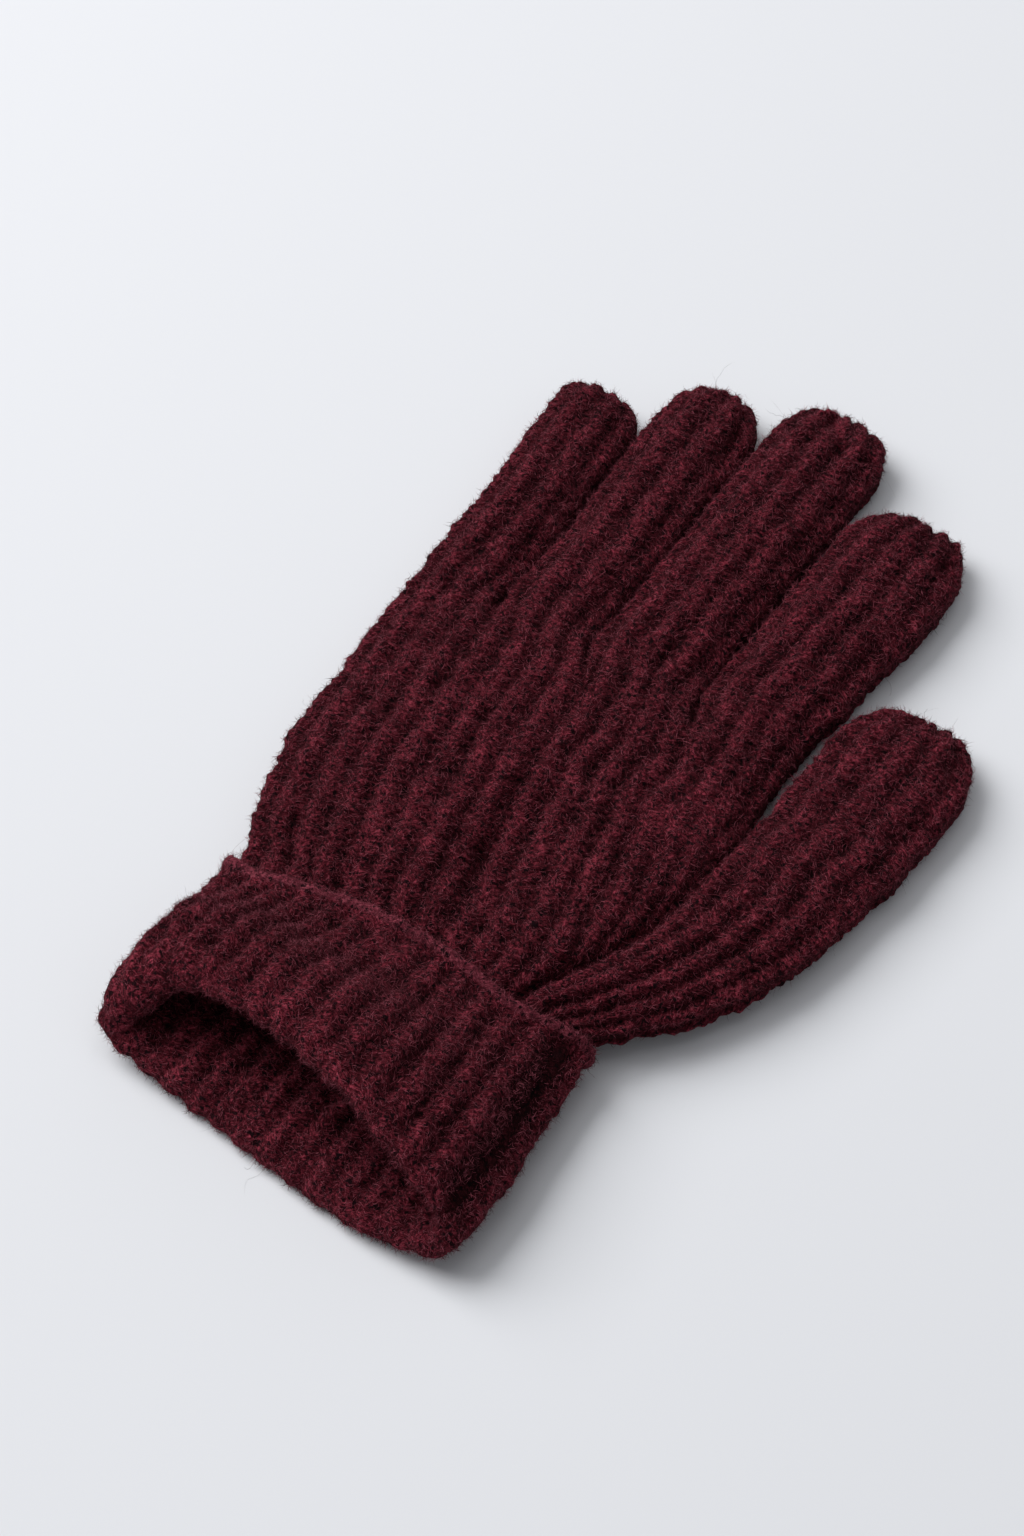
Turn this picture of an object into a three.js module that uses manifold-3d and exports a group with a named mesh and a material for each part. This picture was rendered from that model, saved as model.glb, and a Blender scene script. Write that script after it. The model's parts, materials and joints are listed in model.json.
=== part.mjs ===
// A rib-knitted glove lying flat and empty, its cuff turned up once and its mouth standing open.
// Every length of tube is a hollow sleeve of knitted fabric. Units are millimetres, +Z is up, +Y runs
// from the wrist to the fingertips and +X towards the thumb.
import * as THREE from "three";
import { mergeVertices } from "three/addons/utils/BufferGeometryUtils.js";
import Module from "manifold-3d";

const wasm = await Module();
wasm.setup();

// ---- Driving dimensions ----
const ORIGIN_Y = 50; // the model's origin, on the flat underside of the hand, from the wrist line
const WALL = 2.5; // thickness of the knitted fabric
const GAP = 0.3; // clearance between separate pieces
const FINGER_GAP = 1.2; // clearance between neighbouring fingers
const SPLIT_Z = 7; // height of the turn between the palm side and the back side
const HINGE_MARGIN = 4; // degrees that a bevelled fold opens past its full travel
const KNUCKLE_TRAVEL = 80; // degrees
const MIDDLE_TRAVEL = 80; // degrees
const TIP_TRAVEL = 48; // degrees
const THUMB_BASE_TRAVEL = 60; // degrees
const THUMB_TIP_TRAVEL = 75; // degrees
const WRIST_TRAVEL = 60; // degrees
const OVERRUN = 6; // how far a cutting tool reaches past what it cuts
const REACH = 400; // a cutting block's size, larger than the glove

// Section of a sleeve: a rounded, flattened oval with a flat underside.
const SECTION_POWER = 0.72; // 1 is an ellipse, smaller is squarer
const FLAT_SHARE = 0.8; // how far below its middle the oval is cut flat, as a share of its half height
const FINGER_SIDES = 16;
const HAND_SIDES = 28;
const RING_STEP = 10; // distance between the rings of a sleeve
const RING_MARGIN = 1; // least distance from a sleeve's end to its next ring
const TIP_RINGS = [30, 55, 76]; // degrees round a fingertip's end at which it has a ring
const TIP_NARROWING = 0.8; // 1 rounds a fingertip's sides as an ellipse, smaller keeps it blunter
const TIP_THINNING = 0.5; // the same for its top and underside
const MERGE_DISTANCE = 1e-4; // corners closer than this are one

// Rows of a sleeve: [y, left x, right x, underside z, top z]
const HAND_ROWS = [
  [0, -44, 43, 2.8, 16.5],
  [7, -46, 44, 1.2, 16.2],
  [17, -49, 43, 0, 16],
  [28, -53, 42, 0, 16.2],
  [53, -55, 41.5, 0, 16],
  [80, -57, 41.2, 0, 14.8],
  [97, -57.4, 41, 0, 13.4],
];
const GUSSET_ROWS = [
  [3, 12, 43.4, 2.2, 15.6],
  [14, 17, 54, 0.6, 15.2],
  [21, 22, 61, 0, 15],
  [29, 27, 67, 0, 14.8],
  [43, 34, 70.4, 0, 14.4],
  [57, 39, 72, 0, 13.6],
  [66, 42, 73.6, 0, 13.1],
  [73, 42.7, 74.6, 0, 12.9],
];
const CROTCH_Y = 97; // where the hand ends between the fingers
const STUB_START_Y = 90; // where the finger stubs start, inside the hand's sleeve
const FINGERS = {
  little: {
    rows: [
      [90, -57.4, -35.9, 0, 13.2],
      [107, -58, -36.7, 0, 12.8],
      [121, -59.2, -37.7, 0, 12.4],
      [134, -61, -38.7, 0, 12],
      [141, -61.8, -39.2, 0, 11.8],
      [155, -62, -40.3, 0, 11],
    ],
    folds: [104, 124, 140],
    round: 9,
  },
  ring: {
    rows: [
      [90, -34.2, -13.2, 0, 13.4],
      [121, -36.4, -14.2, 0, 12.8],
      [144, -38.2, -14.9, 0, 12.2],
      [157, -38.6, -15.2, 0, 11.8],
      [171, -37.8, -15.6, 0, 11],
    ],
    folds: [106, 130, 151],
    round: 11,
  },
  middle: {
    rows: [
      [90, -12, 13.2, 0, 13.6],
      [129, -13.2, 13.4, 0, 13],
      [157, -14, 13.5, 0, 12.4],
      [165, -14.2, 13.6, 0, 12],
      [180, -14, 13.2, 0, 11.2],
    ],
    folds: [108, 136, 158],
    round: 13,
  },
  index: {
    rows: [
      [90, 14.4, 41, 0, 13.4],
      [106, 14.6, 41.4, 0, 13],
      [116, 14.7, 43, 0, 12.8],
      [129, 14.8, 46, 0, 12.4],
      [142, 14.8, 46, 0, 12],
      [162, 15.2, 44.4, 0, 11.2],
    ],
    folds: [109, 130, 147],
    round: 12,
  },
};
const THUMB = {
  rows: [
    [60, 41.6, 72.6, 0, 13.2],
    [66, 42, 73.6, 0, 13.1],
    [73, 42.7, 74.6, 0, 12.9],
    [80, 43.1, 75.3, 0, 12.7],
    [90, 43.4, 76, 0, 12.4],
    [102, 43.6, 76, 0, 12],
    [114, 44.4, 74.8, 0, 11.2],
  ],
  folds: [73, 94],
  round: 14,
};
const GUSSET_EDGE_X = 44; // the gusset is what lies beyond this line
const GUSSET_STEP_Y = 56; // from here on it reaches in as far as the thumb's crotch
const GUSSET_CROTCH_X = 41.6;
const CUFF_END_Y = -50; // where the two layers of the cuff meet the fold
const CUFF_LIP_Y = -56; // the mouth's lowest edge
const CUFF_LEAN = 0.45; // how far the mouth leans back for each millimetre of height
const BAND_TOP_Y = -5.4; // where the turned-up layer ends and its cast-on edge starts
const EDGE_LENGTH = 2.2; // length of the cast-on edge along Y
const CUFF_ROWS = [ // outer surface of the turned-up layer; it drapes down into the wrist
  [0, -46.6, 46, 0, 19.6],
  [-12, -46.4, 47, 0, 21],
  [-30, -46.4, 48.2, 0, 24.6],
  [-50, -45.4, 49.6, 0, 28.6],
  [-56, -43.6, 48.6, 0.8, 27.8],
];
const SEAM_HEIGHT = 2.4;
const CLOSING_RADIUS = 1.1; // half thickness of the stitches that close a fingertip
const CLOSING_WIDTH = 9;
const CLOSING_SINK = 0.4; // how far they lie inside the fingertip's end, as a share of their radius
const CLOSING_END_RINGS = 3;
const CLOSING_SIDES = 8;

// ---- Solids ----
const solidOf = (geometry) => {
  const bare = geometry.clone();
  bare.deleteAttribute("normal");
  bare.deleteAttribute("uv");
  const merged = mergeVertices(bare, MERGE_DISTANCE);
  return new wasm.Manifold(
    new wasm.Mesh({
      numProp: 3,
      vertProperties: new Float32Array(merged.attributes.position.array),
      triVerts: new Uint32Array(merged.index.array),
    }),
  );
};

const smoothRows = (rows) => {
  const ordered = [...rows].sort((a, b) => a[0] - b[0]);
  const heights = new Float32Array(ordered.map((row) => row[0]));
  const values = new Float32Array(ordered.flatMap((row) => row.slice(1)));
  const sizes = ordered[0].length - 1;
  const curve = new THREE.CubicInterpolant(heights, values, sizes, new Float32Array(sizes));
  return (y) => {
    const at = THREE.MathUtils.clamp(y, heights[0], heights[heights.length - 1]);
    const [left, right, bottom, top] = curve.evaluate(at);
    return { y, left, right, bottom, top };
  };
};

const shrunk = (row, by) => ({
  y: row.y,
  left: row.left + by,
  right: row.right - by,
  bottom: row.bottom + by,
  top: row.top - by,
});

const signedPower = (value) => Math.sign(value) * Math.abs(value) ** SECTION_POWER;

// A closed sleeve-shaped solid: a cylinder whose rings take the rows' sizes. lean(y) shears a ring in Y
// by its height.
const sleeve = (rows, sides, lean = () => 0) => {
  const geometry = new THREE.CylinderGeometry(1, 1, rows.length - 1, sides, rows.length - 1);
  const place = geometry.attributes.position;
  for (let i = 0; i < place.count; i += 1) {
    const row = rows[Math.round(place.getY(i) + (rows.length - 1) / 2)];
    const halfHeight = (row.top - row.bottom) / (1 + FLAT_SHARE);
    const middle = row.bottom + FLAT_SHARE * halfHeight;
    const across = signedPower(place.getX(i)) * (row.right - row.left) / 2;
    const z = Math.max(middle + signedPower(place.getZ(i)) * halfHeight, row.bottom);
    place.setXYZ(i, (row.left + row.right) / 2 + across, row.y + lean(row.y) * z, z);
  }
  return solidOf(geometry);
};

// Ring places from one end to the other. Sleeves share the places between, so that layers stay parallel.
const steps = (from, to) => {
  const [low, high] = [Math.min(from, to) + RING_MARGIN, Math.max(from, to) - RING_MARGIN];
  const first = Math.ceil(low / RING_STEP);
  const count = Math.max(0, Math.floor(high / RING_STEP) - first + 1);
  const between = Array.from({ length: count }, (_, i) => (first + i) * RING_STEP);
  return [from, ...(from < to ? between : between.reverse()), to];
};

const block = (x0, x1, y0, y1, z0, z1) => {
  const geometry = new THREE.BoxGeometry(x1 - x0, y1 - y0, z1 - z0);
  geometry.translate((x0 + x1) / 2, (y0 + y1) / 2, (z0 + z1) / 2);
  return solidOf(geometry);
};

// A V-shaped groove across the top of a fold, so that the two lengths can turn about its bottom edge.
const foldGroove = (y, z, travel) => {
  const half = THREE.MathUtils.degToRad(travel / 2 + HINGE_MARGIN);
  const rise = WALL + OVERRUN;
  const outline = new THREE.Shape([
    new THREE.Vector2(y, z - GAP),
    new THREE.Vector2(y + rise * Math.tan(half), z - GAP + rise),
    new THREE.Vector2(y - rise * Math.tan(half), z - GAP + rise),
  ]);
  const geometry = new THREE.ExtrudeGeometry(outline, { depth: REACH, bevelEnabled: false });
  geometry.rotateY(Math.PI / 2);
  geometry.rotateX(Math.PI / 2);
  geometry.translate(-REACH / 2, 0, 0);
  return solidOf(geometry);
};

// ---- Group and materials ----
const group = new THREE.Group();
const glove = new THREE.Group();
glove.position.y = -ORIGIN_Y;
group.add(glove);

const YARN = { color: 0x5a1a26, roughness: 0.95, metalness: 0 };
const add = (name, solid) => {
  const mesh = solid.getMesh();
  const geometry = new THREE.BufferGeometry();
  geometry.setAttribute("position", new THREE.BufferAttribute(mesh.vertProperties, mesh.numProp));
  geometry.setIndex(new THREE.BufferAttribute(mesh.triVerts, 1));
  geometry.computeVertexNormals();
  const made = new THREE.Mesh(geometry, new THREE.MeshStandardMaterial(YARN));
  made.name = name;
  glove.add(made);
};

// ---- Fingers and thumb ----
// Rows of a finger from one fold to the next. The last length narrows to a rounded end.
const fingerRows = (finger, from, to, inset) => {
  const at = smoothRows(finger.rows);
  const tipY = finger.rows[finger.rows.length - 1][0] - inset;
  const roundStart = tipY - finger.round + inset;
  const straightEnd = Math.min(to, roundStart);
  const made = steps(from, straightEnd).map((y) => shrunk(at(y), inset));
  if (to <= roundStart) return made;
  for (const angle of TIP_RINGS) {
    const turn = THREE.MathUtils.degToRad(angle);
    const y = roundStart + (tipY - roundStart) * Math.sin(turn);
    const row = shrunk(at(y), inset);
    const narrow = ((row.right - row.left) / 2) * (1 - Math.cos(turn) ** TIP_NARROWING);
    const thin = ((row.top - row.bottom) / 2) * (1 - Math.cos(turn) ** TIP_THINNING);
    made.push({
      y,
      left: row.left + narrow,
      right: row.right - narrow,
      bottom: row.bottom + thin,
      top: row.top - thin,
    });
  }
  return made;
};

const hingeHeight = (rows, y) => smoothRows(rows)(y).top - WALL;

const closingStitches = (finger) => {
  const tip = smoothRows(finger.rows)(finger.rows[finger.rows.length - 1][0]);
  const bar = (radius) => {
    const geometry = new THREE.CapsuleGeometry(radius, CLOSING_WIDTH, CLOSING_END_RINGS, CLOSING_SIDES);
    const y = tip.y - radius * CLOSING_SINK;
    geometry.rotateZ(Math.PI / 2);
    geometry.translate((tip.left + tip.right) / 2, y, (tip.top + tip.bottom) / 2);
    return solidOf(geometry);
  };
  return { bar: bar(CLOSING_RADIUS), socket: bar(CLOSING_RADIUS + GAP) };
};

const makeFinger = (name, finger, partNames, travels) => {
  const tipY = finger.rows[finger.rows.length - 1][0];
  const stitches = closingStitches(finger);
  partNames.forEach((part, i) => {
    const last = i === partNames.length - 1;
    const from = finger.folds[i] + GAP / 2;
    const to = last ? tipY : finger.folds[i + 1] - GAP / 2;
    const outside = sleeve(fingerRows(finger, from, to, 0), FINGER_SIDES);
    const innerEnd = last ? tipY : to + OVERRUN;
    const inside = sleeve(fingerRows(finger, from - OVERRUN, innerEnd, WALL), FINGER_SIDES);
    let solid = outside.subtract(inside);
    [i, i + 1].filter((fold) => fold < finger.folds.length).forEach((fold) => {
      const y = finger.folds[fold];
      solid = solid.subtract(foldGroove(y, hingeHeight(finger.rows, y), travels[fold]));
    });
    if (last) solid = solid.subtract(stitches.socket);
    add(`${name}_${part}`, solid);
  });
  add(`${name}_closing_stitches`, stitches.bar);
};

const FINGER_TRAVELS = [KNUCKLE_TRAVEL, MIDDLE_TRAVEL, TIP_TRAVEL];
for (const [name, finger] of Object.entries(FINGERS)) {
  makeFinger(name, finger, ["proximal", "middle", "tip"], FINGER_TRAVELS);
}
makeFinger("thumb", THUMB, ["lower", "tip"], [THUMB_BASE_TRAVEL, THUMB_TIP_TRAVEL]);

// ---- Hand ----
const bodySleeves = (inset) => {
  const past = inset > 0 ? OVERRUN : 0;
  const rowsOf = (rows, from, to) => steps(from, to).map((y) => shrunk(smoothRows(rows)(y), inset));
  let solid = sleeve(rowsOf(HAND_ROWS, GAP / 2 - past, CROTCH_Y - inset), HAND_SIDES);
  const thumbRoot = THUMB.folds[0] - GAP / 2 + past;
  solid = solid.add(sleeve(rowsOf(GUSSET_ROWS, GUSSET_ROWS[0][0] + inset, thumbRoot), HAND_SIDES));
  for (const finger of Object.values(FINGERS)) {
    const rows = rowsOf(finger.rows, STUB_START_Y, finger.folds[0] - GAP / 2 + past);
    solid = solid.add(sleeve(rows, FINGER_SIDES));
  }
  return solid;
};
let hand = bodySleeves(0).subtract(bodySleeves(WALL));
hand = hand.subtract(foldGroove(0, hingeHeight(HAND_ROWS, 0), WRIST_TRAVEL));
for (const finger of Object.values(FINGERS)) {
  const y = finger.folds[0];
  const groove = foldGroove(y, hingeHeight(finger.rows, y), KNUCKLE_TRAVEL);
  const [left, right] = [finger.rows[0][1] - FINGER_GAP, finger.rows[0][2] + FINGER_GAP];
  hand = hand.subtract(groove.intersect(block(left, right, 0, REACH, -REACH, REACH)));
}
const thumbRootY = THUMB.folds[0];
const thumbGroove = foldGroove(thumbRootY, hingeHeight(THUMB.rows, thumbRootY), THUMB_BASE_TRAVEL);
hand = hand.subtract(thumbGroove.intersect(block(GUSSET_CROTCH_X, REACH, 0, REACH, -REACH, REACH)));

const palmSide = block(-REACH, REACH, -REACH, REACH, SPLIT_Z + GAP / 2, REACH);
const backSide = block(-REACH, REACH, -REACH, REACH, -REACH, SPLIT_Z - GAP / 2);
const gussetBlock = block(GUSSET_EDGE_X + GAP / 2, REACH, -REACH, REACH, -REACH, REACH)
  .add(block(GUSSET_CROTCH_X + GAP / 2, REACH, GUSSET_STEP_Y + GAP / 2, REACH, -REACH, REACH));
const handBlock = block(-REACH, GUSSET_EDGE_X - GAP / 2, -REACH, GUSSET_STEP_Y - GAP / 2, -REACH, REACH)
  .add(block(-REACH, GUSSET_CROTCH_X - GAP / 2, -REACH, REACH, -REACH, REACH));
add("hand_palm_side", hand.intersect(palmSide).intersect(handBlock));
add("hand_back_side", hand.intersect(backSide).intersect(handBlock));
add("thumb_gusset_palm_side", hand.intersect(palmSide).intersect(gussetBlock));
add("thumb_gusset_back_side", hand.intersect(backSide).intersect(gussetBlock));

// ---- Cuff ----
const cuffLean = (y) => CUFF_LEAN * THREE.MathUtils.smoothstep(-y, 0, -CUFF_END_Y);
const cuffSleeve = (from, to, inset) => {
  const at = smoothRows(CUFF_ROWS);
  return sleeve(steps(to, from).map((y) => shrunk(at(y), inset)), HAND_SIDES, cuffLean);
};
const cuffLayer = (from, to, outerInset, thickness) => {
  const outside = cuffSleeve(from, to, outerInset);
  return outside.subtract(cuffSleeve(from + OVERRUN, to - OVERRUN, outerInset + thickness));
};
const innerLayer = cuffLayer(-GAP / 2, CUFF_END_Y + GAP / 2, WALL + GAP, WALL)
  .subtract(foldGroove(0, hingeHeight(HAND_ROWS, 0), WRIST_TRAVEL));
add("cuff_inner_palm_side", innerLayer.intersect(palmSide));
add("cuff_inner_back_side", innerLayer.intersect(backSide));

const seamSlot = block(0, REACH, -REACH, REACH, SPLIT_Z - SEAM_HEIGHT / 2, SPLIT_Z + SEAM_HEIGHT / 2);
const seamGap = block(0, REACH, -REACH, REACH,
  SPLIT_Z - SEAM_HEIGHT / 2 - GAP, SPLIT_Z + SEAM_HEIGHT / 2 + GAP);
const turnUp = cuffLayer(BAND_TOP_Y - GAP / 2, CUFF_END_Y + GAP / 2, 0, WALL);
add("cuff_turn_up_palm_side", turnUp.subtract(seamGap).intersect(palmSide));
add("cuff_turn_up_back_side", turnUp.subtract(seamGap).intersect(backSide));
add("cuff_side_seam", turnUp.intersect(seamSlot));
add("cuff_cast_on_edge", cuffLayer(BAND_TOP_Y + EDGE_LENGTH, BAND_TOP_Y + GAP / 2, 0, WALL));
add("cuff_fold", cuffLayer(CUFF_END_Y - GAP / 2, CUFF_LIP_Y, 0, 2 * WALL + GAP));

export default group;
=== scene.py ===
import json
import math

import bpy
import numpy as np
from mathutils import Matrix, Vector


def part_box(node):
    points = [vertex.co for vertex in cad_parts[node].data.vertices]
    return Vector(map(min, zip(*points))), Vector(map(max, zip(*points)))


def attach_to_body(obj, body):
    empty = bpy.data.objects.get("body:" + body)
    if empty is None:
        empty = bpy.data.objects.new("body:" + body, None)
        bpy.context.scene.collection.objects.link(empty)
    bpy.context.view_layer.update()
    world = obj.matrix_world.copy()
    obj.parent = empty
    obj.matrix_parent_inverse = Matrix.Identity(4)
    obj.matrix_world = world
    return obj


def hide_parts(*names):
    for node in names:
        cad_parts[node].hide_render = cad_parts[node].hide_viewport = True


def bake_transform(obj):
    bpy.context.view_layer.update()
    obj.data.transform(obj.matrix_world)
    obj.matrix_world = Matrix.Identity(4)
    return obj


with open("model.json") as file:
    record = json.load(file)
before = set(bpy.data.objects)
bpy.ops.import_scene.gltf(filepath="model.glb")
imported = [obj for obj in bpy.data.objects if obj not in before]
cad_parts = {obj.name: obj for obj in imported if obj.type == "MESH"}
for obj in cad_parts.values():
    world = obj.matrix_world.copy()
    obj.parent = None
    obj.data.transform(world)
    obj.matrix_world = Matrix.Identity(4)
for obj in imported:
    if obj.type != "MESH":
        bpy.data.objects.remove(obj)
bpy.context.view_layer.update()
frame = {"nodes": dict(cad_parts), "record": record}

# A rib-knitted glove lying empty on a pale surface. All shaping is done in millimetres with the wrist line
# at y = 0 and is moved into the frame, in metres, when a mesh is made.
MM = 0.001
JOINTS = {joint["name"]: joint for joint in frame["record"]["behaviour"]["joints"]}
WRIST_Y = JOINTS["wrist_fold"]["pos_m"][1] / MM
RANDOM = np.random.default_rng(7)

# ---- Knitted fabric ----
PER_RIB = 16            # mesh columns in one rib
ROW = 0.375             # mesh row length
COARSE = 4              # the hidden inner face has one vertex for each 4 x 4 of the outer one
COURSE = 2.5            # height of one stitch
FULL_PITCH = 4.6        # a rib narrower than this is flatter
PROUD = 0.8             # how far the ribs stand out past the base surface
HAND_KNIT = {"rib": 1.34, "leg": 0.50, "groove": 0.16, "purl": 0.55}
CUFF_KNIT = {"rib": 1.35, "leg": 0.40, "groove": 0.12, "purl": 0.45}
UNDER = 1.15            # height of the base surface where the glove lies on the table
WALL = 1.5              # thickness of the knit behind its base surface
FLOOR_GAP = 0.12        # the least height of the knit over the surface that it lies on

# The knit's unevenness: each noise's height, size in millimetres and seed
RIB_WANDER = [(0.07, 7, 11), (0.04, 2.6, 16)]       # in ribs
STITCH_WANDER = [(1.1, 8, 12), (0.6, 3, 13)]
RIB_UNEVEN = [(0.25, 11, 17)]
LEG_UNEVEN = [(0.9, 5, 19)]
PURL_UNEVEN = [(1.1, 6, 20)]
LUMPS = [(0.26, 1.1, 14), (0.42, 2.0, 15), (0.30, 4.5, 18)]
SLACK = [(0.5, 21, 5), (0.25, 9, 6)]                # of the limp fabric of the palm's side

# ---- Columns of ribs across the hand, left to right ----
RIBS = {"little": 4, "ring": 4, "middle": 5, "index": 5, "thumb": 5}
STARTS = dict(zip(RIBS, np.cumsum([0, *RIBS.values()])[:-1]))
PALM_RIBS = STARTS["thumb"]
ALL_RIBS = PALM_RIBS + RIBS["thumb"]

# ---- Places along the hand ----
WRIST_HALF = 12.0       # the wrist's knit reaches this far each way from the wrist line
WRIST_DIP = 2.4         # how far the fabric dips where it goes under the turned-up cuff
GUSSET_FULL = 1.3       # how much wider the knit lies beside the wrist than its CAD piece
GUSSET_TRIM = 2.0       # and how much narrower where it turns towards the thumb
THUMB_CROTCH_Y = 64.0
CROTCH_Y = 97.0
WRIST_SIDES = (-42.0, 43.0)     # X of the knit's left and right side at the wrist
GUSSET_FULL_Y = (-2, 8, 12, 26) # it grows over the first two places along Y and fades over the last two
GUSSET_TRIM_Y = (31, 10)        # middle and half length of the trimmed place
# Ribs of the palm that have come out of the crease beside the thumb, from the wrist on: (y, ribs)
EMERGED = [(-12, 12.7), (3, 12.8), (10, 13.8), (20, 15.3), (30, 16.2), (40, 16.8), (50, 17.3), (60, 18.4),
           (64, 19.2)]
CREASE = [(-12, 26), (3, 28), (10, 32), (20, 37), (28, 40), (36, 41.5), (50, 42), (64, 41.8)]   # its (y, x)
CREASE_SHARE = 0.985    # how much of a rib's width lies hidden in the crease
CROTCH_RIBS = (8, 13)   # these ribs only come out where the fingers part
CROTCH_HIDDEN = 0.94    # how much of their width is hidden before that
NARROWER = 0.14         # how much narrower the palm's ribs are towards the thumb
# Right edge of the palm's own oval beside and past the thumb: (y, x)
PALM_RIGHT = [(64, 41.8), (72, 41.0), (80, 40.8), (97, 40.9)]

# ---- Shape of a flattened tube's section ----
SECTION_STEPS = 181
SIDE_HEIGHT = [(-12, 9.6), (12, 7.8), (64, 5.0), (97, 4.8), (180, 4.2)]   # of the turn at its sides: (y, z)
TOP_IN = 0.4            # how far the hand's base surface lies under its CAD top
FINGER_TOP_IN = 0.5     # the same for the fingers
HAND_DOME = 0.62        # powers of the section's curve: smaller is flatter, with rounder sides
FINGER_DOME = 0.78
UNDER_DOME = 0.50
UPPER_SIDES = 0.86
UNDER_SIDES = 0.80
WRIST_LIFT = 2.4        # how far the underside rises into the cuff at the wrist

# The lengths of each finger, with the joint that each one folds at
PIECES = {
    finger: [("proximal", f"{finger}_knuckle_curl"), ("middle", f"{finger}_middle_curl"),
             ("tip", f"{finger}_tip_curl")] for finger in ("little", "ring", "middle", "index")
}
PIECES["thumb"] = [("lower", "thumb_base_curl"), ("tip", "thumb_tip_curl")]
ROUND_END = 1.35        # length of the curve over a fingertip's round end, against its straight length
TIP_IN = 1.1            # the knit of a fingertip stays this far inside its CAD piece, for its fuzz
# How a fingertip closes: length of its round end, share of its width left at the closing stitches,
# squareness, and how far the closed end sits to the right of the middle, as a share of its half width.
TIPS = {
    "little": (9.0, 0.50, 0.62, -0.22),
    "ring": (13.0, 0.34, 0.80, -0.10),
    "middle": (14.0, 0.36, 0.80, -0.12),
    "index": (12.0, 0.48, 0.72, 0.05),
    "thumb": (15.0, 0.34, 0.72, 0.05),
}


def smooth(a, b, x):
    """0 before a, 1 past b and a smooth rise between them."""
    t = np.clip((np.asarray(x, float) - a) / (b - a), 0, 1)
    return t * t * (3 - 2 * t)


def mix(a, b, t):
    """The value a share t of the way from a to b."""
    return a + (b - a) * t


def bell(x, middle, half):
    """A bump of height 1 at the middle that falls off over a half width."""
    return np.exp(-((x - middle) / half) ** 2)


def between(points, y):
    """A smooth curve through a few (y, value) points."""
    ys, values = np.array(points, float).T
    slope = np.gradient(values, ys)
    y = np.clip(y, ys[0], ys[-1])
    i = np.clip(np.searchsorted(ys, y, side="right") - 1, 0, len(ys) - 2)
    h = ys[i + 1] - ys[i]
    t = (y - ys[i]) / h
    start, end = values[i], values[i + 1]
    curve = (2 * t ** 3 - 3 * t ** 2 + 1) * start + (3 * t ** 2 - 2 * t ** 3) * end
    return curve + h * ((t ** 3 - 2 * t ** 2 + t) * slope[i] + (t ** 3 - t ** 2) * slope[i + 1])


NOISE_TABLE = np.random.default_rng(3).random(4096)


def noise(points, size, seed=0):
    """Smooth value noise between -1 and 1 on points in millimetres, with bumps about size across."""
    p = np.asarray(points, float) / size + 17.31 * (seed + 1)
    cell = np.floor(p).astype(np.int64)
    f = p - cell
    f = f * f * (3 - 2 * f)
    total = 0.0
    for corner in range(8):
        d = np.array([corner & 1, corner >> 1 & 1, corner >> 2 & 1])
        c = cell + d
        key = (c[:, 0] * 73856093 ^ c[:, 1] * 19349663 ^ c[:, 2] * 83492791) & 4095
        weight = np.prod(np.where(d, f, 1 - f), axis=1)
        total = total + weight * NOISE_TABLE[key]
    return total * 2 - 1


def roughened(start, points, bumps):
    """Start with some noises added. Each bump is its height, its size and its seed."""
    for height, size, seed in bumps:
        start = start + height * noise(points, size, seed)
    return start


# ---- Reading the frame ----
def cad_edges(names):
    """The edges of some CAD nodes as pairs of points, in millimetres from the wrist line."""
    found = []
    for name in names:
        mesh = frame["nodes"][name].data
        points = np.empty(len(mesh.vertices) * 3, np.float32)
        mesh.vertices.foreach_get("co", points)
        pairs = np.empty(len(mesh.edges) * 2, np.int32)
        mesh.edges.foreach_get("vertices", pairs)
        found.append(points.reshape(-1, 3)[pairs.reshape(-1, 2)].astype(float) / MM)
    edges = np.concatenate(found)
    edges[:, :, 1] -= WRIST_Y
    return edges


def slice_at(edges, y):
    """Left, right and top of a slice across some CAD nodes."""
    a, b = edges[:, 0], edges[:, 1]
    cut = (a[:, 1] - y) * (b[:, 1] - y) < 0
    a, b = a[cut], b[cut]
    p = a + (b - a) * ((y - a[:, 1]) / (b[:, 1] - a[:, 1]))[:, None]
    return p[:, 0].min(), p[:, 0].max(), p[:, 2].max()


def node_span(name):
    """Where a CAD node starts and ends along Y."""
    low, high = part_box(name)
    return low[1] / MM - WRIST_Y, high[1] / MM - WRIST_Y


def fold_at(joint):
    """Place of a hinge along Y."""
    return JOINTS[joint]["pos_m"][1] / MM - WRIST_Y


def outline(nodes, places):
    """Functions of y for the left, right and top of some CAD nodes, read at the places given."""
    edges = cad_edges(nodes)
    rows = np.array([slice_at(edges, y) for y in places])
    return [lambda y, k=k: np.interp(y, places, rows[:, k]) for k in range(3)]


HAND_NODES = ["hand_palm_side", "hand_back_side", "thumb_gusset_palm_side", "thumb_gusset_back_side"]
hand_left, hand_right, hand_top = outline(HAND_NODES, np.arange(9.0, 96, 5))


def read_finger(finger):
    """Edges, top, tip and folds of a finger, read away from the gaps between its CAD lengths."""
    lengths = PIECES[finger]
    nodes = [f"{finger}_{part}" for part, _ in lengths]
    places = []
    for node in nodes:
        low, high = node_span(node)
        shares = (0.3, 0.5, 0.7) if node != nodes[-1] else (0.25, 0.4)
        places += [low + (high - low) * share for share in shares]
    left, right, top = outline(nodes, np.array(places))
    return {
        "left": left, "right": right, "top": top,
        "tip": node_span(nodes[-1])[1] - TIP_IN,
        "folds": [fold_at(joint) for _, joint in lengths],
    }


FINGERS = {finger: read_finger(finger) for finger in PIECES}


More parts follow.
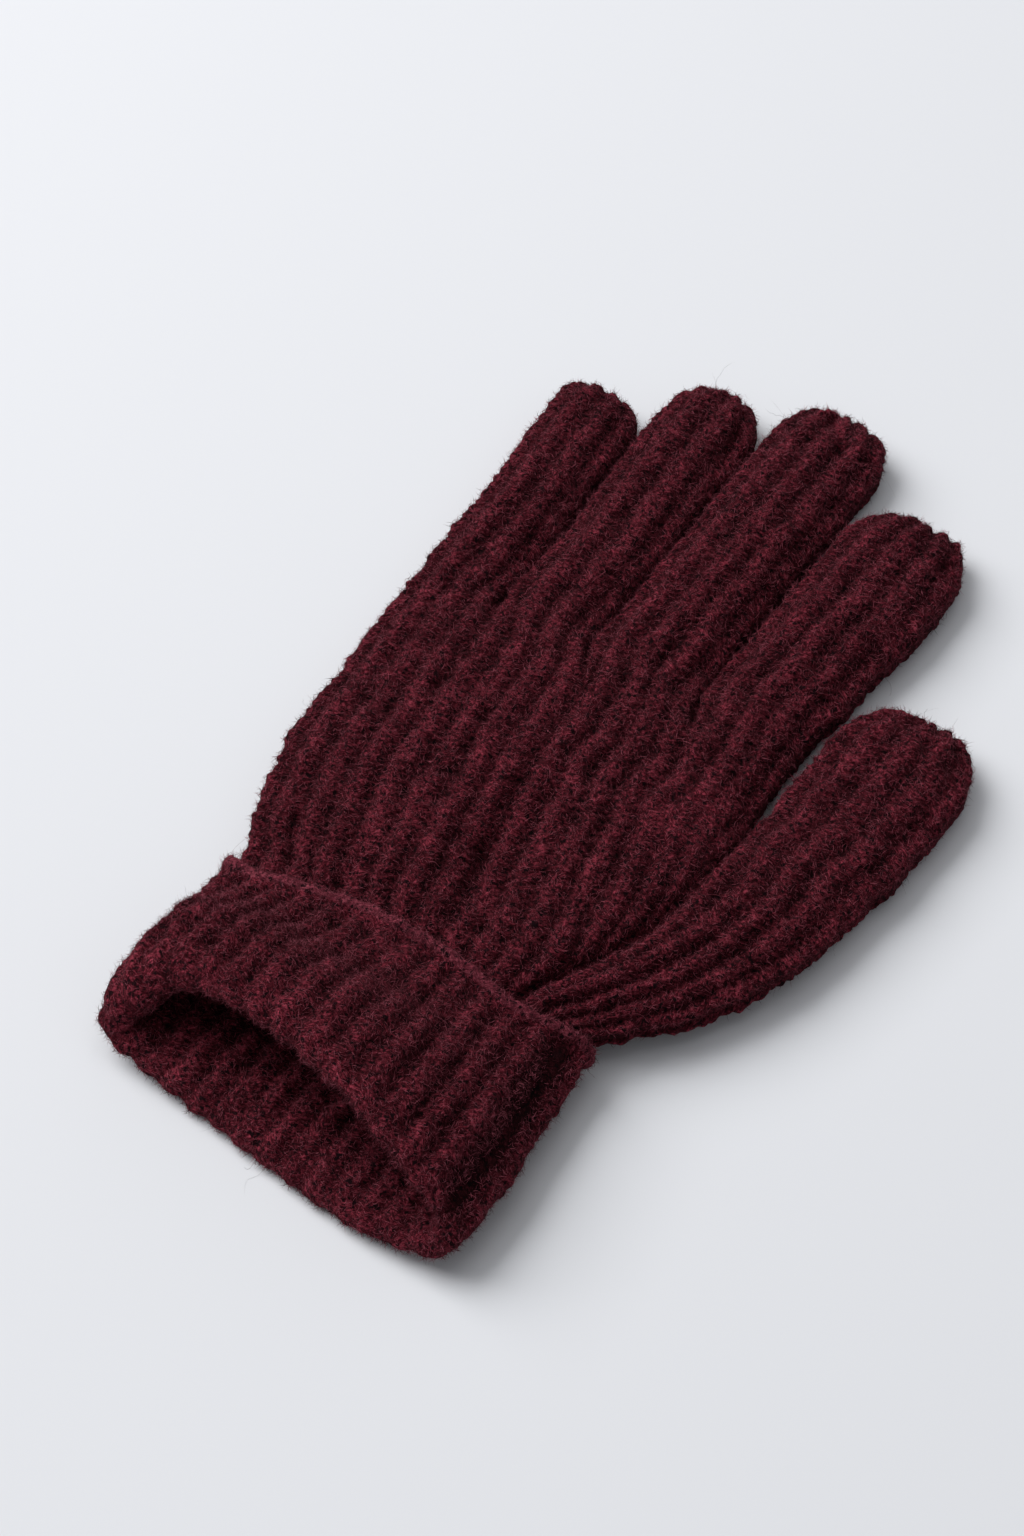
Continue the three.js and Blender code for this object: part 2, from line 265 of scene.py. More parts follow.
# ---- Sections ----
def half_oval(left, right, middle_z, end_z, power_x, power_z, share):
    """Points along half an oval from its left to its right end, at shares of its length."""
    turn = np.linspace(0, math.pi, SECTION_STEPS)
    across = np.sign(np.cos(turn)) * np.abs(np.cos(turn)) ** power_x
    x = (left + right) / 2 - across * (right - left) / 2
    z = middle_z + (end_z - middle_z) * np.sin(turn).clip(0) ** power_z
    length = np.concatenate([[0], np.cumsum(np.hypot(np.diff(x), np.diff(z)))])
    at = np.asarray(share) * length[-1]
    return np.interp(at, length, x), np.interp(at, length, z)


def side_height(y):
    """Height of the turn between the upper and the lower side."""
    return np.interp(y, *zip(*SIDE_HEIGHT))


def oval_sheets(left, right, bottom, top, share, middle_z, wide=False):
    """The upper and the lower half of a tube's section."""
    dome = HAND_DOME if wide else FINGER_DOME
    upper = half_oval(left, right, middle_z, top, UPPER_SIDES, dome, share)
    lower = half_oval(left, right, middle_z, bottom, UNDER_SIDES, UNDER_DOME, share)
    return [np.stack(upper, 1), np.stack(lower, 1)]


def columns(first, last):
    """Rib coordinates of the mesh columns from one rib to another."""
    return np.linspace(first, last, int(round((last - first) * PER_RIB)) + 1)


def under_height(y):
    """Height of the base surface's underside."""
    return UNDER + WRIST_LIFT * (1 - smooth(0, 15, y))


def palm_rib_widths(y, rib):
    """Relative widths of the palm's ribs. Those that only come out at the crotches start next to nothing."""
    hidden = CROTCH_HIDDEN * (1 - smooth(66, CROTCH_Y, y))
    narrow = NARROWER * smooth(9, 14, rib) * (1 - smooth(76, CROTCH_Y, y))
    return np.where(np.isin(np.floor(rib), CROTCH_RIBS), 1 - hidden, 1 - narrow)


def wide_section(y):
    """The whole hand and thumb gusset as one flattened oval, with the palm's ribs fanned out."""
    w = columns(0, ALL_RIBS)
    mids = (w[1:] + w[:-1]) / 2
    palm = mids < PALM_RIBS
    grow_from, grow_to, fade_from, fade_to = GUSSET_FULL_Y
    left = mix(WRIST_SIDES[0], hand_left(y), smooth(0, 9, y)) + PROUD
    right = mix(WRIST_SIDES[1], hand_right(y), smooth(0, 9, y)) - PROUD
    right += GUSSET_FULL * smooth(grow_from, grow_to, y) * (1 - smooth(fade_from, fade_to, y))
    right -= GUSSET_TRIM * bell(y, *GUSSET_TRIM_Y)
    top = hand_top(y) - TOP_IN - WRIST_DIP * (1 - smooth(-8, 13, y))
    sheets = []
    for sheet in range(2):
        share = np.linspace(0, 1, 201)
        line = oval_sheets(left, right, under_height(y), top, share, side_height(y), True)[sheet]
        middle = np.interp(between(CREASE, y), line[:, 0], share)
        out = between(EMERGED, y) if sheet == 0 else PALM_RIBS + 1
        weight = np.where(palm, 1 - CREASE_SHARE * smooth(out - 1.6, out + 1.2, mids), 1.0)
        weight[palm] *= palm_rib_widths(y, mids[palm])
        weight[palm] *= middle / weight[palm].sum()
        weight[~palm] *= (1 - middle) / weight[~palm].sum()
        at = np.concatenate([[0], np.cumsum(weight)])
        sheets.append(oval_sheets(left, right, under_height(y), top, at, side_height(y), True)[sheet])
    return sheets


def palm_section(y):
    """The palm's own oval, without the thumb."""
    left = hand_left(y) + PROUD
    right = np.interp(y, *zip(*PALM_RIGHT)) - 0.3 * smooth(64, 70, y)
    w = columns(0, PALM_RIBS)
    share = np.concatenate([[0], np.cumsum(palm_rib_widths(y, (w[1:] + w[:-1]) / 2))])
    top = hand_top(y) - TOP_IN
    return oval_sheets(left, right, under_height(y), top, share / share[-1], side_height(y), True)


def finger_edges(finger, y):
    """Left and right of a finger. Neighbours share their edge at the crotch and then part."""
    shape = FINGERS[finger]
    order = list(RIBS)
    i = order.index(finger)
    crotch = THUMB_CROTCH_Y if finger == "thumb" else CROTCH_Y
    left, right = shape["left"](y), shape["right"](y)
    if finger == "thumb":
        near = smooth(crotch, crotch + 7, y)
        return mix(palm_section(crotch)[0][-1, 0], left, near), mix(hand_right(crotch), right, near) - PROUD
    near = smooth(crotch, crotch + 8, y)
    shared_left = (FINGERS[order[i - 1]]["right"](crotch) + shape["left"](crotch)) / 2 if i else None
    last = finger == "index"
    shared_right = None if last else (shape["right"](crotch) + FINGERS[order[i + 1]]["left"](crotch)) / 2
    left = left + PROUD if shared_left is None else mix(shared_left, left, near)
    edge = palm_section(crotch)[0][-1, 0]
    right = mix(edge, right - PROUD, near) if last else mix(shared_right, right, near)
    return left, right


def finger_section(finger, y):
    """Both sheets across a finger, before its round end."""
    left, right = finger_edges(finger, y)
    if finger == "little" and y <= CROTCH_Y:
        left = palm_section(CROTCH_Y)[0][0, 0]
    count = RIBS[finger]
    top = FINGERS[finger]["top"](y) - FINGER_TOP_IN
    return oval_sheets(left, right, UNDER, top, columns(0, count) / count, side_height(y))


def joined(sections):
    """Neighbouring sections as one, their shared end columns counted once."""
    return [np.concatenate([sections[0][s]] + [p[s][1:] for p in sections[1:]]) for s in range(2)]


def hand_section(y):
    """Both sheets across palm and thumb, from the wrist to the thumb's crotch."""
    wide = wide_section(y)
    parted = smooth(44, THUMB_CROTCH_Y, y)
    if parted == 0:
        return wide
    if y >= THUMB_CROTCH_Y:
        thumb = finger_section("thumb", y)
    else:
        share = columns(0, RIBS["thumb"]) / RIBS["thumb"]
        top = FINGERS["thumb"]["top"](y) - FINGER_TOP_IN
        thumb = oval_sheets(palm_section(y)[0][-1, 0], hand_right(y) - PROUD, UNDER, top, share,
                            side_height(y))
    lobes = joined([palm_section(y), thumb])
    return [mix(wide[s], lobes[s], parted ** 1.5) for s in range(2)]


def palm_top_section(y):
    """Both sheets across the palm, from the thumb's crotch to the fingers' crotches."""
    palm = palm_section(y)
    parted = smooth(72, CROTCH_Y, y)
    if parted == 0:
        return palm
    lobes = joined([finger_section(finger, max(y, CROTCH_Y)) for finger in list(RIBS)[:4]])
    return [mix(palm[s], lobes[s], parted ** 1.4) for s in range(2)]


def tip_section(finger, turn):
    """A section of a finger's round end, turn running from 0 to 90 degrees, and its place along Y."""
    length, end_share, square, aside = TIPS[finger]
    tip = FINGERS[finger]["tip"]
    start = tip - length
    s = math.sin(turn)
    y = start + length * s
    left, right = finger_edges(finger, y)
    close = 1 - (1 - s ** 2.2) ** square if s < 1 else 1.0
    half, centre = (right - left) / 2, (right + left) / 2
    centre += aside * half * close
    half *= 1 - (1 - end_share) * close
    top = FINGERS[finger]["top"](y) - FINGER_TOP_IN
    middle_z = side_height(y)
    flat = max(math.cos(turn), 0) ** 0.75
    count = RIBS[finger]
    sheets = oval_sheets(centre - half, centre + half, mix(middle_z, UNDER, flat),
                         mix(middle_z, top, flat), columns(0, count) / count, middle_z)
    return sheets, y


# ---- Grids ----
def spaced(start, end):
    """Row places from start to end, an exact number of coarse rows apart."""
    count = COARSE * max(1, round(abs(end - start) / ROW / COARSE))
    return np.linspace(start, end, count + 1)


class Grid:
    """Sheets of points in rows and columns, with their rib and stitch coordinates."""

    def __init__(self, name, sheets, flips, first_rib, knit, cuts, start_v=0.0, strength=None):
        self.name = name
        self.sheets = sheets
        self.flips = flips
        self.knit = knit
        self.cuts = cuts
        self.shape = sheets[0].shape[:2]
        self.strength = np.ones(self.shape) if strength is None else strength
        middle = sheets[0][:, self.shape[1] // 2]
        step = np.linalg.norm(np.diff(middle, axis=0), axis=1)
        self.v = start_v + np.concatenate([[0], np.cumsum(step)])
        self.w = first_rib + np.arange(self.shape[1]) / PER_RIB


def tube_grid(name, rows, places, first_rib, cuts, start_v):
    """A grid of a flattened tube's upper and lower sheet."""
    sheets = [np.array([np.column_stack([row[s][:, 0], np.full(len(row[s]), y), row[s][:, 1]])
                        for row, y in zip(rows, places)]) for s in range(2)]
    return Grid(name, sheets, [False, True], first_rib, HAND_KNIT, cuts, start_v)


def hand_grid():
    """The wrist, and the hand up to the thumb's crotch. Its cut wrist is the wrist's last row."""
    wrist_rows = spaced(-WRIST_HALF, WRIST_HALF)
    places = np.concatenate([wrist_rows, spaced(WRIST_HALF, THUMB_CROTCH_Y)[1:]])
    cuts = {"wrist": len(wrist_rows) - 1}
    return tube_grid("hand", [hand_section(y) for y in places], places, 0, cuts, places[0])


def palm_grid():
    """The palm from the thumb's crotch to the fingers' crotches."""
    places = spaced(THUMB_CROTCH_Y, CROTCH_Y)
    return tube_grid("palm", [palm_top_section(y) for y in places], places, 0, {}, THUMB_CROTCH_Y)


def finger_grid(finger):
    """A finger from its crotch to its closing stitches, cut halfway between its folds."""
    folds = FINGERS[finger]["folds"]
    crotch = THUMB_CROTCH_Y if finger == "thumb" else CROTCH_Y
    length = TIPS[finger][0]
    places, cuts, at = [crotch], {}, crotch
    for i, (part, _) in enumerate(PIECES[finger][:-1]):
        end = (folds[i] + folds[i + 1]) / 2
        first = len(places) - 1
        places += list(spaced(at, end)[1:])
        cuts[f"{finger}_{part}"] = (first, len(places) - 1)
        at = end
    first = len(places) - 1
    places += list(spaced(at, FINGERS[finger]["tip"] - length)[1:])
    rows = [finger_section(finger, y) for y in places]
    steps = COARSE * round(length * ROUND_END / ROW / COARSE)
    for turn in np.linspace(0, math.pi / 2, steps + 1)[1:]:
        sheets, y = tip_section(finger, turn)
        rows.append(sheets)
        places.append(y)
    cuts[f"{finger}_{PIECES[finger][-1][0]}"] = (first, len(places) - 1)
    return tube_grid(finger, rows, np.array(places), STARTS[finger], cuts, crotch)


# ---- Cuff ----
CUFF_RIBS = 30          # all the way round, counted from the side seam over the top
CUFF_TOP_Y = -4.2       # the cast-on edge
CUFF_LIP_Y = -58.3      # the mouth's edge where it lies on the table, before it leans
CUFF_INNER_END_Y = -12.0
SEAM_DEPTH = 3.8        # depth of the groove that the side seam lies in
EDGE_ROLL = 1.5         # radius of the cast-on edge
EDGE_RISE = 0.85        # how far the cast-on edge stands up over the band
LIP_ROLL = 2.3          # radius of the turn at the mouth
LEFT_ROLL = 2.6         # how much more it is at the mouth's left corner
RIGHT_ROLL = 0.9        # and at its right corner
LEAN = 0.675            # how far the mouth leans back for each millimetre of height
# Share of the ribs' relief left on the cast-on edge, near the mouth, on its turn and inside
EDGE_STRENGTH, LIP_STRENGTH, ROLL_STRENGTH, INNER_STRENGTH = 0.16, 0.75, 0.32, 0.95
DRIFT = 0.5             # how many ribs the ribs drift towards the mouth's left corner
DRIFT_RIBS = (8.6, 3.6) # middle and half width of the ribs that do, counted from the side seam
DRIFT_OVER = 46         # length that they drift over
LEFT_CORNER, RIGHT_CORNER = (166, 30), (356, 26)    # the mouth's corners: turn and half width in degrees
EDGE_DIP = 0.45         # depth of the dip under the cast-on edge
SEAM_TURN = math.radians(24)
SEAM_HALF = 2.0         # half width of the side seam's groove
OPEN_OVER = 50          # the band opens over this length, from the wrist to the mouth
SIDE_Z = (9.4, 10.6)    # height of the turn at the cuff's sides, at its cast-on edge and at the mouth
RIGHT_POWER = (0.85, 1.6)   # how steeply the band falls to its right side, at the same two places
LEFT_POWER = 0.78
CUFF_UNDER_DOME = 0.55
CUFF_SIDES = 0.84
CUFF_LIFT = 1.2         # how far the band's underside rises to its cast-on edge
SAG = 0.8               # dip in the right part of the mouth
SAG_X = (36, 13)        # middle and half width of that dip
SKEW = 0.34             # how far the mouth's top leans to the left for each millimetre of height
# How far the cuff's left side lies in from its CAD pieces: (y, in)
LEFT_TUCK = [(-58, 2.7), (-45, 2.5), (-36, 2.9), (-28, 3.6), (-20, 3.8), (-5, 3.4)]
# The mouth's waves: how far it lies back from its own line, along X
LIP_WAVE = [(-45, 3.5), (-21, 3.6), (-10, 3.0), (2, 1.6), (16, 0.2), (30, -0.9), (39, -0.7), (46, -0.2)]
# The cast-on edge's waves: how far it lies past its own line, along X
EDGE_WAVE = [(-43, 0.7), (-38, -1.3), (-24, 0.2), (-8, 3.0), (4, 3.3), (12, 3.1), (21, 2.1), (30, 1.2),
             (37, 2.8), (43, 4.2)]
cuff_left, cuff_right, _ = outline(["cuff_turn_up_palm_side", "cuff_turn_up_back_side"],
                                   np.arange(-40.0, -8, 6))
EDGE_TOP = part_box("cuff_cast_on_edge")[1][2] / MM - 1.0
MOUTH_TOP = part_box("cuff_fold")[1][2] / MM - 0.6
TURNS = np.linspace(0, 2 * math.pi, 721)


def cuff_oval(y, inset, turn):
    """A point on the cuff's section at a turn from its right side over its top, set in from outside."""
    open_share = smooth(0, 1, -y / OPEN_OVER)
    left = cuff_left(y) + between(LEFT_TUCK, y) + PROUD + inset
    right = cuff_right(y) - PROUD - inset
    top = mix(EDGE_TOP, MOUTH_TOP, open_share) - PROUD - inset
    bottom = UNDER + inset + CUFF_LIFT * (1 - smooth(-4, -20, y))
    middle_z = mix(*SIDE_Z, open_share)
    c, s = np.cos(turn), np.sin(turn)
    power = np.where(c > 0, mix(*RIGHT_POWER, open_share), LEFT_POWER)
    across = (left + right) / 2 + c * (right - left) / 2
    sag = SAG * open_share * bell(across, *SAG_X)
    over = middle_z + (top - middle_z - sag) * np.clip(s, 0, 1) ** power
    under = middle_z - (middle_z - bottom) * np.clip(-s, 0, 1) ** CUFF_UNDER_DOME
    z = np.where(s >= 0, over, under)
    x = (left + right) / 2 + np.sign(c) * np.abs(c) ** CUFF_SIDES * (right - left) / 2
    x = x - SKEW * open_share * np.clip(z - middle_z, 0, None) * np.clip(s, 0, 1)
    return np.stack([x, z], -1)


def rib_turns(y, along):
    """Turns at which the cuff's mesh columns lie. The ribs drift to the left corner towards the mouth."""
    line = cuff_oval(y, 0.0, TURNS)
    length = np.concatenate([[0], np.cumsum(np.linalg.norm(np.diff(line, axis=0), axis=1))])
    start = np.interp(SEAM_TURN, TURNS, length)
    w = columns(0, CUFF_RIBS)
    drift = DRIFT * along * bell(w, *DRIFT_RIBS)
    at = (w + drift) / CUFF_RIBS * length[-1] + start
    both_length = np.concatenate([length, length[1:] + length[-1]])
    both_turns = np.concatenate([TURNS, TURNS[1:] + 2 * math.pi])
    return np.interp(at, both_length, both_turns)


def cuff_row(y, turns, inset, past):
    """One row of the cuff. past is how far it goes beyond y, towards the mouth's outside."""
    line = cuff_oval(y, inset, turns)
    x, z = line[:, 0], line[:, 1]
    lean = (LEAN - 0.0011 * x) * smooth(0, 1, -y / OPEN_OVER)
    wave = between(EDGE_WAVE, x) * smooth(-26, -5, y) + between(LIP_WAVE, x) * smooth(-15, -50, y)
    return np.column_stack([x, y - past + lean * z + wave, z])


def mouth_roll(turns):
    """Radius of the turn at the mouth, larger at its corners."""
    degrees = np.degrees(turns)
    left = bell(degrees, *LEFT_CORNER)
    right = bell(degrees, *RIGHT_CORNER) + bell(degrees + 360, *RIGHT_CORNER)
    return LIP_ROLL + LEFT_ROLL * left + RIGHT_ROLL * right


def cuff_grid():
    """The cuff in one sheet: round its cast-on edge, down its outside, round the mouth and up its inside."""
    rows, cuts, strength = [], {}, []
    edge_turns = rib_turns(CUFF_TOP_Y, 0.0)
    edge_y = CUFF_TOP_Y - EDGE_ROLL
    for bend in np.linspace(math.pi, 0, 2 * COARSE + 1)[:-1]:
        inset = EDGE_ROLL * (1 - math.cos(bend)) - EDGE_RISE
        rows.append(cuff_row(edge_y, edge_turns, inset, -EDGE_ROLL * math.sin(bend)))
        strength.append(EDGE_STRENGTH)
    cuts["edge"] = (0, len(rows) + COARSE)
    lip_start = CUFF_LIP_Y + LIP_ROLL
    for y in spaced(edge_y, lip_start):
        below = edge_y - y
        rise = EDGE_RISE * bell(below, 0, 1.5) - EDGE_DIP * bell(below, 3.6, 1.6)
        rows.append(cuff_row(y, rib_turns(y, np.clip((CUFF_TOP_Y - y) / DRIFT_OVER, 0, 1)), -rise, 0.0))
        past_edge = smooth(edge_y - 0.8, edge_y - 4.5, y)
        near_lip = smooth(lip_start + 4, lip_start, y)
        strength.append(mix(EDGE_STRENGTH, 1.0, past_edge) * mix(1.0, LIP_STRENGTH, near_lip))
    cuts["turn_up"] = (cuts["edge"][1], len(rows) - 1 - 2 * COARSE)
    turns = rib_turns(lip_start, 1.0)
    roll = mouth_roll(turns)
    bends = np.linspace(0, math.pi, 6 * COARSE + 1)[1:]
    for bend in bends:
        rows.append(cuff_row(lip_start, turns, roll * (1 - math.cos(bend)), roll * math.sin(bend)))
        strength.append(mix(LIP_STRENGTH, ROLL_STRENGTH, math.sin(bend)))
    cuts["fold"] = (cuts["turn_up"][1], len(rows) - 1 + 2 * COARSE)
    for y in spaced(lip_start, CUFF_INNER_END_Y)[1:]:
        near = 1 - smooth(0, 14, y - lip_start)
        inset = 2 * mix(LIP_ROLL, roll, near)
        rows.append(cuff_row(y, mix(rib_turns(y, near), turns, near), inset, 0.0))
        strength.append(mix(INNER_STRENGTH, LIP_STRENGTH, near))
    cuts["inner"] = (cuts["fold"][1], len(rows) - 1)
    strength = np.repeat(np.array(strength)[:, None], rows[0].shape[0], axis=1)
    return Grid("cuff", [np.array(rows)], [False], 0.5, CUFF_KNIT, cuts, strength=strength)


grids = {"hand": hand_grid(), "palm": palm_grid()}
grids.update({finger: finger_grid(finger) for finger in FINGERS})
grids["cuff"] = cuff_grid()


# ---- Relief of the whole glove ----
# Sharp little creases: start and end (x, y), depth and half width
CREASES = [
    (-4.0, 175.0, 4.2, 165.0, 2.2, 1.7),        # on the fingertips
    (-19.0, 158.0, -14.4, 137.0, 1.4, 1.2),
    (38.6, 148.0, 42.0, 154.0, 1.2, 1.2),
    (-42.0, 21.0, -31.0, 3.0, 1.5, 2.0),        # above the cuff
    (-20.0, 14.0, -17.0, 2.0, 1.2, 1.8),
    (0.5, 30.0, 4.0, 16.0, 0.9, 2.0),
    (42.6, 66.0, 42.4, 52.0, 2.4, 1.5),         # in the crotches
    (42.4, 52.0, 42.2, 44.0, 1.2, 1.4),
    (-36.5, 104.0, -36.0, 97.0, 1.0, 1.5),
    (-11.0, 104.0, -11.0, 97.0, 1.0, 1.5),
    (16.5, 102.0, 16.0, 95.0, 0.9, 1.5),
]
# Round bulges and hollows of the palm: height, x and y of the middle, slant, half width and half length
SWELLS = [
    (1.5, 31.5, 60.0, 0.0, 6.5, 10.0),          # the lump beside the thumb's crotch
    (0.9, -8.0, 24.0, -0.26, 7.0, 20.0),        # the fold over the wrist
    (-1.5, 6.6, 22.0, -0.3, 7.0, 20.0),         # and the hollow beside it
]
THUMB_LUMP = (33, 58, 8, 12)    # x, y, half width and half length of the place where its ribs flatten out
THUMB_LUMP_FLAT = 0.8           # and how much flatter they are there
FOLD_DEPTH = 2.6                # of the crease beside the thumb
FOLD_HALF = 2.6                 # its half width
FOLD_BANK = 1.2                 # height of the bank on its right


def crease_relief(p):
    """Height of the sharp creases on the palm's side, which is below zero."""
    total = np.zeros(len(p))
    for x0, y0, x1, y1, depth, half in CREASES:
        start, way = np.array([x0, y0]), np.array([x1 - x0, y1 - y0])
        along = np.clip(((p[:, :2] - start) @ way) / (way @ way), 0, 1)
        off = np.linalg.norm(p[:, :2] - start - along[:, None] * way, axis=1)
        total -= depth * bell(off, 0, half)
    return total


def soft_relief(p):
    """Height in millimetres of the folds and bulges that the limp fabric lies in."""
    x, y = p[:, 0], p[:, 1]
    crease_x = between(CREASE, y)
    fade = 1 - smooth(30, 52, y)
    relief = -FOLD_DEPTH * bell(x, crease_x, FOLD_HALF) * fade * smooth(-6, 3, y)
    relief += FOLD_BANK * bell(x, crease_x + 5, 3.0) * fade * smooth(-4, 6, y)
    for height, middle_x, middle_y, slant, half_x, half_y in SWELLS:
        off_x = x - middle_x - slant * (y - middle_y)
        relief += height * bell(off_x, 0, half_x) * bell(y, middle_y, half_y)
    return relief + (roughened(0, p, SLACK) + crease_relief(p))


def knit_relief(w, v, pitch, p, knit, strength):
    """Height of the ribs and stitches over the base surface, and each point's place along and across a rib.

    The place along is in stitches, and the place across runs from 0 on the rib's middle."""
    w = roughened(w, p, RIB_WANDER)
    rib = np.floor(w)
    v = roughened(v, p, STITCH_WANDER) + 0.8 * np.sin(rib * 2.4)
    share = w - rib - 0.5
    off = np.abs(share) * np.maximum(pitch, 3.0)
    full = smooth(0.8, FULL_PITCH, pitch) * strength
    uneven = roughened(1, p, RIB_UNEVEN)
    ridge = (0.5 + 0.5 * np.cos(2 * math.pi * share)) ** 0.9
    height = knit["rib"] * (full * uneven * ridge - 0.52 * strength)
    across = np.abs(share) / 0.33
    on_rib = 1 - smooth(0.7, 1.25, across)
    stitch = v / COURSE - 0.55 * across
    leg = 0.5 - 0.5 * np.cos(2 * math.pi * stitch)
    legs = knit["leg"] * np.clip(roughened(0.6, p, LEG_UNEVEN), 0.1, 1.4)
    height += full * on_rib * (legs * (leg - 0.5) - knit["groove"] * bell(off, 0, 0.5))
    valley = np.floor(w + 0.5)
    purl = 0.5 + 0.5 * np.cos(2 * math.pi * (v / COURSE + 0.37 * np.sin(valley * 5.1)))
    loops = knit["purl"] * np.clip(roughened(0.65, p, PURL_UNEVEN), 0.1, 1.6)
    height += full * (1 - on_rib) * loops * (purl - 0.6)
    height += roughened(0, p, LUMPS) * mix(0.6, 1.0, strength)
    return height, stitch, across


def pitches(points):
    """Local width of a rib, in millimetres, at each point of a sheet."""
    step = np.linalg.norm(np.diff(points, axis=1), axis=2)
    step = np.concatenate([step[:, :1], (step[:, 1:] + step[:, :-1]) / 2, step[:, -1:]], axis=1)
    kernel = np.ones(9) / 9
    padded = np.pad(step, ((0, 0), (4, 4)), mode="edge")
    return np.apply_along_axis(lambda r: np.convolve(r, kernel, "valid"), 1, padded) * PER_RIB


def quads_of(numbers):
    """The quads between the rows and columns of vertex numbers."""
    corners = [numbers[:-1, :-1], numbers[:-1, 1:], numbers[1:, 1:], numbers[1:, :-1]]
    return np.stack(corners, axis=-1).reshape(-1, 4)


def numbered(start, shape):
    """Vertex numbers from start, in rows and columns."""
    return start + np.arange(shape[0] * shape[1]).reshape(shape)


def welded(points):
    """A group number for each point, alike where points coincide."""
    keys = np.round(points / 0.002).astype(np.int64)
    _, groups = np.unique(keys, axis=0, return_inverse=True)
    return groups.reshape(-1)


def group_mean(values, groups):
    """Each value replaced by the mean of its group."""
    total = np.zeros((groups.max() + 1, values.shape[1]))
    np.add.at(total, groups, values)
    count = np.bincount(groups)[:, None]
    return (total / count)[groups]


def normals_of(points, quads, groups):
    """Smooth normals of welded quads."""
    q = quads.reshape(-1, 4)
    face = np.cross(points[q[:, 2]] - points[q[:, 0]], points[q[:, 3]] - points[q[:, 1]])
    total = np.zeros((groups.max() + 1, 3))
    for k in range(4):
        np.add.at(total, groups[q[:, k]], face)
    total /= np.linalg.norm(total, axis=1, keepdims=True) + 1e-12
    return total[groups]


def shape_surface(grid_list, relief):
    """Lifts several grids by the relief and the knit. Returns the fields of all their points, in order."""
    parts = {k: [] for k in ("points", "w", "v", "pitch", "under", "knit", "strength")}
    quads, starts, start = [], {}, 0
    for grid in grid_list:
        rows, cols = grid.shape
        for s, p in enumerate(grid.sheets):
            starts[grid.name, s] = start
            parts["points"].append(p.reshape(-1, 3))
            parts["w"].append(np.tile(grid.w, rows))
            parts["v"].append(np.repeat(grid.v, cols))
            parts["pitch"].append(pitches(p).reshape(-1))
            parts["under"].append(np.full(rows * cols, grid.flips[s]))
            parts["knit"].append(np.full(rows * cols, grid.knit is CUFF_KNIT))
            parts["strength"].append(grid.strength.reshape(-1))
            faces = quads_of(numbered(start, grid.shape))
            quads.append(faces[:, ::-1] if grid.flips[s] else faces)
            start += rows * cols
    points, w, v, pitch, under, cuff, strength = (np.concatenate(parts[k]) for k in parts)
    quads = np.concatenate(quads)
    groups = welded(points)
    base_normals = normals_of(points, quads, groups)
    lift = np.where(under | cuff, 0.0, relief(points)) * np.clip(base_normals[:, 2], 0, 1)
    points = group_mean(points + np.array([0, 0, 1]) * lift[:, None], groups)
    base_normals = normals_of(points, quads, groups)
    knit = {key: np.where(cuff, CUFF_KNIT[key], HAND_KNIT[key]) for key in HAND_KNIT}
    lump_x, lump_y, half_x, half_y = THUMB_LUMP
    lump = bell(points[:, 0], lump_x, half_x) * bell(points[:, 1], lump_y, half_y)
    strength = strength * np.where(under | cuff, 1.0, 1 - THUMB_LUMP_FLAT * lump)
    height, stitch, across = knit_relief(w, v, pitch, points, knit, strength)
    from_seam = np.minimum(np.abs(w - 0.5), np.abs(w - 0.5 - CUFF_RIBS)) * pitch
    height = height - np.where(cuff, SEAM_DEPTH * bell(from_seam, 0, SEAM_HALF) * strength, 0)
    moved = points + base_normals * height[:, None]
    moved[:, 2] = np.maximum(moved[:, 2], FLOOR_GAP)
    moved = group_mean(moved, groups)
    # The share of relief taken away also makes the knit's colour paler in its material.
    return {
        "base": points, "base_normals": base_normals, "points": moved, "groups": groups,
        "normals": normals_of(moved, quads, groups), "height": height, "starts": starts, "pitch": pitch,
        "w": w, "v": v, "stitch": stitch, "across": across, "under": under, "flat_paler": 1 - strength,
    }


# ---- Meshes ----
def make_mesh(name, points, faces, normals, fields):
    """An object from points in millimetres, a list of face arrays, and per-vertex fields."""
    mesh = bpy.data.meshes.new(name)
    places = (np.asarray(points) + np.array([0, WRIST_Y, 0])) * MM
    loops = np.concatenate([f.reshape(-1) for f in faces])
    totals = np.concatenate([np.full(len(f), f.shape[1]) for f in faces])
    mesh.vertices.add(len(places))
    mesh.vertices.foreach_set("co", places.astype(np.float32).reshape(-1))
    mesh.loops.add(len(loops))
    mesh.loops.foreach_set("vertex_index", loops.astype(np.int32))
    mesh.polygons.add(len(totals))
    mesh.polygons.foreach_set("loop_start", np.concatenate([[0], np.cumsum(totals)[:-1]]).astype(np.int32))
    mesh.polygons.foreach_set("use_smooth", np.ones(len(totals), bool))
    for field, values in fields.items():
        kind = "FLOAT_VECTOR" if values.ndim == 2 else "FLOAT"
        attribute = mesh.attributes.new(field, kind, "POINT")
        attribute.data.foreach_set("vector" if kind == "FLOAT_VECTOR" else "value",
                                   values.astype(np.float32).reshape(-1))
    mesh.update(calc_edges=True)
    mesh.validate()
    if normals is not None:
        mesh.normals_split_custom_set_from_vertices(normals)
    made = bpy.data.objects.new(name, mesh)
    bpy.context.scene.collection.objects.link(made)
    return made


